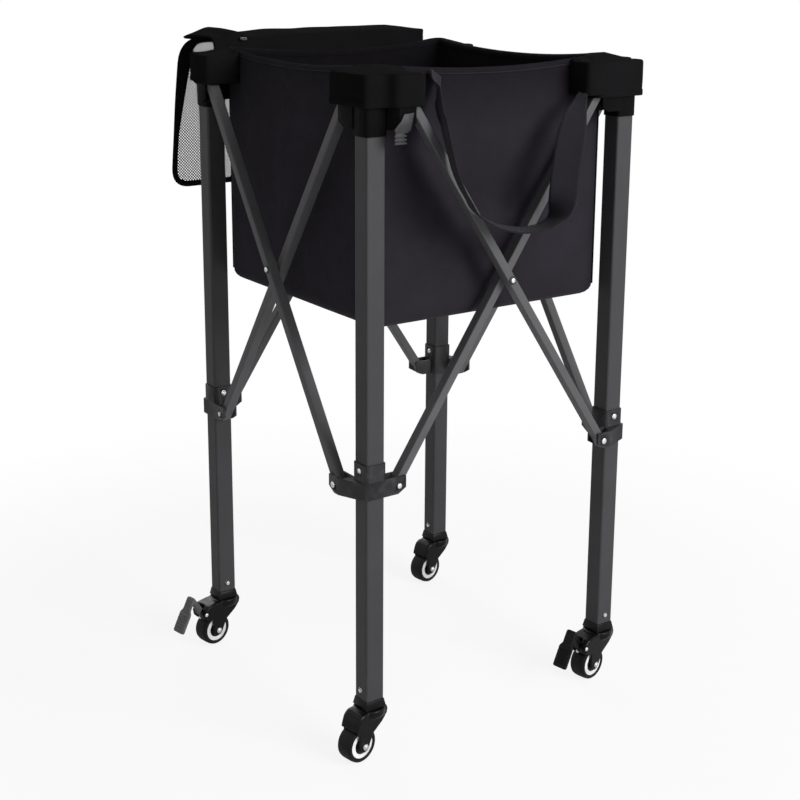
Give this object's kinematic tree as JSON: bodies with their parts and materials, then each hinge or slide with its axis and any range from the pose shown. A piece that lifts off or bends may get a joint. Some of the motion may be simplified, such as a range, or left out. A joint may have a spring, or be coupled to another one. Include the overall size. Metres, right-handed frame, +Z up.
{
  "type": "ball cart",
  "caption": "Folding ball cart: square legs on swivel casters, scissor bars on every side, a deep fabric hopper with a net lid, corner hoods and a carrying strap.",
  "frame": {"origin": "on the floor, under the middle of the whole outline", "axes": "+Z up; +X from the front leg to the right leg; +Y from the front leg to the left leg; the lid is thrown back on the +Y side and the strap on the -Y side"},
  "size_m": [0.5384, 0.6058, 0.939],
  "materials": {
    "leg_steel": "satin powder coat, dark grey",
    "bar_steel": "satin powder coat, grey",
    "bracket_plastic": "moulded, black",
    "fork_plastic": "moulded, black",
    "button_steel": "bright plated",
    "wheel_plastic": "moulded, white",
    "tyre_rubber": "smooth tread, black",
    "pedal_grey": "moulded, grey",
    "pedal_black": "moulded, black",
    "bag_fabric": "woven polyester, black",
    "hood_fabric": "woven polyester, black",
    "lid_mesh": "open net, light grey",
    "webbing": "woven webbing, black"
  },
  "bodies": {
    "front_leg_body": {"leg_front": "leg_steel", "top_bracket_front": "bracket_plastic", "foot_plug_front": "bracket_plastic", "corner_hood_front": "hood_fabric", "bag_wall_front_right": "bag_fabric", "bag_wall_left_front": "bag_fabric", "carrying_strap": "webbing"},
    "right_leg_body": {"leg_right": "leg_steel", "top_bracket_right": "bracket_plastic", "foot_plug_right": "bracket_plastic", "corner_hood_right": "hood_fabric", "bag_wall_right_rear": "bag_fabric"},
    "rear_leg_body": {"leg_rear": "leg_steel", "top_bracket_rear": "bracket_plastic", "foot_plug_rear": "bracket_plastic", "corner_hood_rear": "hood_fabric"},
    "left_leg_body": {"leg_left": "leg_steel", "top_bracket_left": "bracket_plastic", "foot_plug_left": "bracket_plastic", "corner_hood_left": "hood_fabric", "bag_wall_rear_left": "bag_fabric"},
    "front_slider_body": {"slider_front": "bracket_plastic"},
    "right_slider_body": {"slider_right": "bracket_plastic"},
    "rear_slider_body": {"slider_rear": "bracket_plastic"},
    "left_slider_body": {"slider_left": "bracket_plastic"},
    "front_right_outer_body": {"outer_bar_front_right": "bar_steel"},
    "front_right_inner_body": {"inner_bar_front_right": "bar_steel"},
    "right_rear_outer_body": {"outer_bar_right_rear": "bar_steel"},
    "right_rear_inner_body": {"inner_bar_right_rear": "bar_steel"},
    "rear_left_outer_body": {"outer_bar_rear_left": "bar_steel"},
    "rear_left_inner_body": {"inner_bar_rear_left": "bar_steel"},
    "left_front_outer_body": {"outer_bar_left_front": "bar_steel"},
    "left_front_inner_body": {"inner_bar_left_front": "bar_steel"},
    "left_floor_body": {"bag_floor_left": "bag_fabric"},
    "right_floor_body": {"bag_floor_right": "bag_fabric"},
    "lid_band_body": {"lid_band": "hood_fabric"},
    "lid_body": {"lid_border": "bag_fabric", "lid_net": "lid_mesh"},
    "front_button_body": {"snap_button_front": "button_steel"},
    "right_button_body": {"snap_button_right": "button_steel"},
    "rear_button_body": {"snap_button_rear": "button_steel"},
    "left_button_body": {"snap_button_left": "button_steel"},
    "front_caster_body": {"caster_fork_front": "fork_plastic"},
    "front_wheel_body": {"wheel_core_front": "wheel_plastic", "tyre_front": "tyre_rubber"},
    "right_caster_body": {"caster_fork_right": "fork_plastic"},
    "right_wheel_body": {"wheel_core_right": "wheel_plastic", "tyre_right": "tyre_rubber"},
    "rear_caster_body": {"caster_fork_rear": "fork_plastic"},
    "rear_wheel_body": {"wheel_core_rear": "wheel_plastic", "tyre_rear": "tyre_rubber"},
    "left_caster_body": {"caster_fork_left": "fork_plastic"},
    "left_wheel_body": {"wheel_core_left": "wheel_plastic", "tyre_left": "tyre_rubber"},
    "right_pedal_body": {"brake_pedal_right": "pedal_black"},
    "left_pedal_body": {"brake_pedal_left": "pedal_grey"}
  },
  "joints": [
    {"name": "fold", "type": "hinge", "parent": "front_leg_body", "child": "front_right_outer_body", "pos_m": [-0.145, -0.231, 0.891], "axis": [0, 1, 0], "range_deg": [0, 28.6], "deforming": ["bag_wall_front_right", "carrying_strap", "bag_wall_rear_left", "lid_band", "lid_border", "lid_net", "bag_wall_left_front", "bag_wall_right_rear", "bag_floor_left", "bag_floor_right"]},
    {"name": "front_right_crossing", "type": "hinge", "parent": "front_right_outer_body", "child": "front_right_inner_body", "pos_m": [0.026, -0.231, 0.6365], "axis": [0, 1, 0], "range_deg": [-57.5, 0]},
    {"name": "right_leg_pivot", "type": "hinge", "parent": "front_right_inner_body", "child": "right_leg_body", "pos_m": [0.197, -0.231, 0.891], "axis": [0, 1, 0], "range_deg": [0, 28.9]},
    {"name": "right_slider_pivot", "type": "hinge", "parent": "front_right_outer_body", "child": "right_slider_body", "pos_m": [0.197, -0.231, 0.382], "axis": [0, 1, 0], "range_deg": [-28.9, 0]},
    {"name": "front_slider_pivot", "type": "hinge", "parent": "front_right_inner_body", "child": "front_slider_body", "pos_m": [-0.145, -0.231, 0.382], "axis": [0, 1, 0], "range_deg": [0, 28.9]},
    {"name": "right_rear_outer_pivot", "type": "hinge", "parent": "right_leg_body", "child": "right_rear_outer_body", "pos_m": [0.232, -0.196, 0.891], "axis": [-1, 0, 0], "range_deg": [0, 28.9]},
    {"name": "right_rear_crossing", "type": "hinge", "parent": "right_rear_outer_body", "child": "right_rear_inner_body", "pos_m": [0.232, -0.025, 0.6365], "axis": [-1, 0, 0], "range_deg": [-57.5, 0]},
    {"name": "rear_leg_pivot", "type": "hinge", "parent": "right_rear_inner_body", "child": "rear_leg_body", "pos_m": [0.232, 0.146, 0.891], "axis": [-1, 0, 0], "range_deg": [0, 28.9]},
    {"name": "rear_slider_pivot", "type": "hinge", "parent": "right_rear_outer_body", "child": "rear_slider_body", "pos_m": [0.232, 0.146, 0.382], "axis": [-1, 0, 0], "range_deg": [-28.9, 0]},
    {"name": "left_front_inner_pivot", "type": "hinge", "parent": "front_leg_body", "child": "left_front_inner_body", "pos_m": [-0.18, -0.196, 0.891], "axis": [1, 0, 0], "range_deg": [-28.9, 0]},
    {"name": "left_front_crossing", "type": "hinge", "parent": "left_front_inner_body", "child": "left_front_outer_body", "pos_m": [-0.18, -0.025, 0.6365], "axis": [1, 0, 0], "range_deg": [0, 57.5]},
    {"name": "left_leg_pivot", "type": "hinge", "parent": "left_front_outer_body", "child": "left_leg_body", "pos_m": [-0.18, 0.146, 0.891], "axis": [1, 0, 0], "range_deg": [-28.9, 0]},
    {"name": "left_slider_pivot", "type": "hinge", "parent": "left_front_inner_body", "child": "left_slider_body", "pos_m": [-0.18, 0.146, 0.382], "axis": [1, 0, 0], "range_deg": [0, 28.9]},
    {"name": "rear_left_inner_pivot", "type": "hinge", "parent": "left_leg_body", "child": "rear_left_inner_body", "pos_m": [-0.145, 0.181, 0.891], "axis": [0, -1, 0], "range_deg": [-28.9, 0]},
    {"name": "rear_left_crossing", "type": "hinge", "parent": "rear_left_inner_body", "child": "rear_left_outer_body", "pos_m": [0.026, 0.181, 0.6365], "axis": [0, -1, 0], "range_deg": [0, 57.5]},
    {"name": "left_floor_crease", "type": "hinge", "parent": "front_leg_body", "child": "left_floor_body", "pos_m": [-0.1576, -0.025, 0.594], "axis": [0, 1, 0], "range_deg": [0, 76.38]},
    {"name": "right_floor_crease", "type": "hinge", "parent": "right_leg_body", "child": "right_floor_body", "pos_m": [0.2096, -0.025, 0.594], "axis": [0, -1, 0], "range_deg": [0, 76.38]},
    {"name": "front_caster_swivel", "type": "hinge", "parent": "front_leg_body", "child": "front_caster_body", "pos_m": [-0.18, -0.231, 0.072], "axis": [0, 0, 1], "continuous": true},
    {"name": "front_wheel_spin", "type": "hinge", "parent": "front_caster_body", "child": "front_wheel_body", "pos_m": [-0.20364, -0.23517, 0.025], "axis": [0.1736, -0.9848, 0], "continuous": true},
    {"name": "right_caster_swivel", "type": "hinge", "parent": "right_leg_body", "child": "right_caster_body", "pos_m": [0.232, -0.231, 0.072], "axis": [0, 0, 1], "continuous": true},
    {"name": "right_wheel_spin", "type": "hinge", "parent": "right_caster_body", "child": "right_wheel_body", "pos_m": [0.20836, -0.23517, 0.025], "axis": [0.1736, -0.9848, 0], "continuous": true},
    {"name": "rear_caster_swivel", "type": "hinge", "parent": "rear_leg_body", "child": "rear_caster_body", "pos_m": [0.232, 0.181, 0.072], "axis": [0, 0, 1], "continuous": true},
    {"name": "rear_wheel_spin", "type": "hinge", "parent": "rear_caster_body", "child": "rear_wheel_body", "pos_m": [0.20836, 0.17683, 0.025], "axis": [0.1736, -0.9848, 0], "continuous": true},
    {"name": "left_caster_swivel", "type": "hinge", "parent": "left_leg_body", "child": "left_caster_body", "pos_m": [-0.18, 0.181, 0.072], "axis": [0, 0, 1], "continuous": true},
    {"name": "left_wheel_spin", "type": "hinge", "parent": "left_caster_body", "child": "left_wheel_body", "pos_m": [-0.20364, 0.17683, 0.025], "axis": [0.1736, -0.9848, 0], "continuous": true},
    {"name": "right_brake_pedal", "type": "hinge", "parent": "right_caster_body", "child": "right_pedal_body", "pos_m": [0.1867, -0.23899, 0.057], "axis": [0.1736, -0.9848, 0], "range_deg": [0, 12]},
    {"name": "left_brake_pedal", "type": "hinge", "parent": "left_caster_body", "child": "left_pedal_body", "pos_m": [-0.2253, 0.17301, 0.057], "axis": [0.1736, -0.9848, 0], "range_deg": [0, 12]},
    {"name": "front_snap_button", "type": "slide", "parent": "front_leg_body", "child": "front_button_body", "axis": [1, 0, 0], "range_m": [0, 0.0038], "stiffness_N_per_m": 400},
    {"name": "right_snap_button", "type": "slide", "parent": "right_leg_body", "child": "right_button_body", "axis": [0, 1, 0], "range_m": [0, 0.0038], "stiffness_N_per_m": 400},
    {"name": "rear_snap_button", "type": "slide", "parent": "rear_leg_body", "child": "rear_button_body", "axis": [1, 0, 0], "range_m": [0, 0.0038], "stiffness_N_per_m": 400},
    {"name": "left_snap_button", "type": "slide", "parent": "left_leg_body", "child": "left_button_body", "axis": [0, 1, 0], "range_m": [0, 0.0038], "stiffness_N_per_m": 400},
    {"name": "lid_hinge", "type": "hinge", "parent": "left_leg_body", "child": "lid_band_body", "pos_m": [0.026, 0.1632, 0.922], "axis": [1, 0, 0], "range_deg": [0, 170]},
    {"name": "lid_fold", "type": "hinge", "parent": "lid_band_body", "child": "lid_body", "pos_m": [0.026, 0.284, 0.93], "axis": [1, 0, 0], "range_deg": [0, 98.2]}
  ],
  "couplings": [
    {"joint": "front_right_crossing", "follows": "fold", "ratio": -2},
    {"joint": "right_leg_pivot", "follows": "fold", "ratio": 1},
    {"joint": "right_slider_pivot", "follows": "fold", "ratio": -1},
    {"joint": "front_slider_pivot", "follows": "fold", "ratio": 1},
    {"joint": "right_rear_outer_pivot", "follows": "fold", "ratio": 1},
    {"joint": "right_rear_crossing", "follows": "fold", "ratio": -2},
    {"joint": "rear_leg_pivot", "follows": "fold", "ratio": 1},
    {"joint": "rear_slider_pivot", "follows": "fold", "ratio": -1},
    {"joint": "left_front_inner_pivot", "follows": "fold", "ratio": -1},
    {"joint": "left_front_crossing", "follows": "fold", "ratio": 2},
    {"joint": "left_leg_pivot", "follows": "fold", "ratio": -1},
    {"joint": "left_slider_pivot", "follows": "fold", "ratio": 1},
    {"joint": "rear_left_inner_pivot", "follows": "fold", "ratio": -1},
    {"joint": "rear_left_crossing", "follows": "fold", "ratio": 2},
    {"joint": "left_floor_crease", "follows": "fold", "ratio": 2.66},
    {"joint": "right_floor_crease", "follows": "fold", "ratio": 2.66},
    {"joint": "lid_fold", "follows": "lid_hinge", "ratio": 0.576}
  ]
}
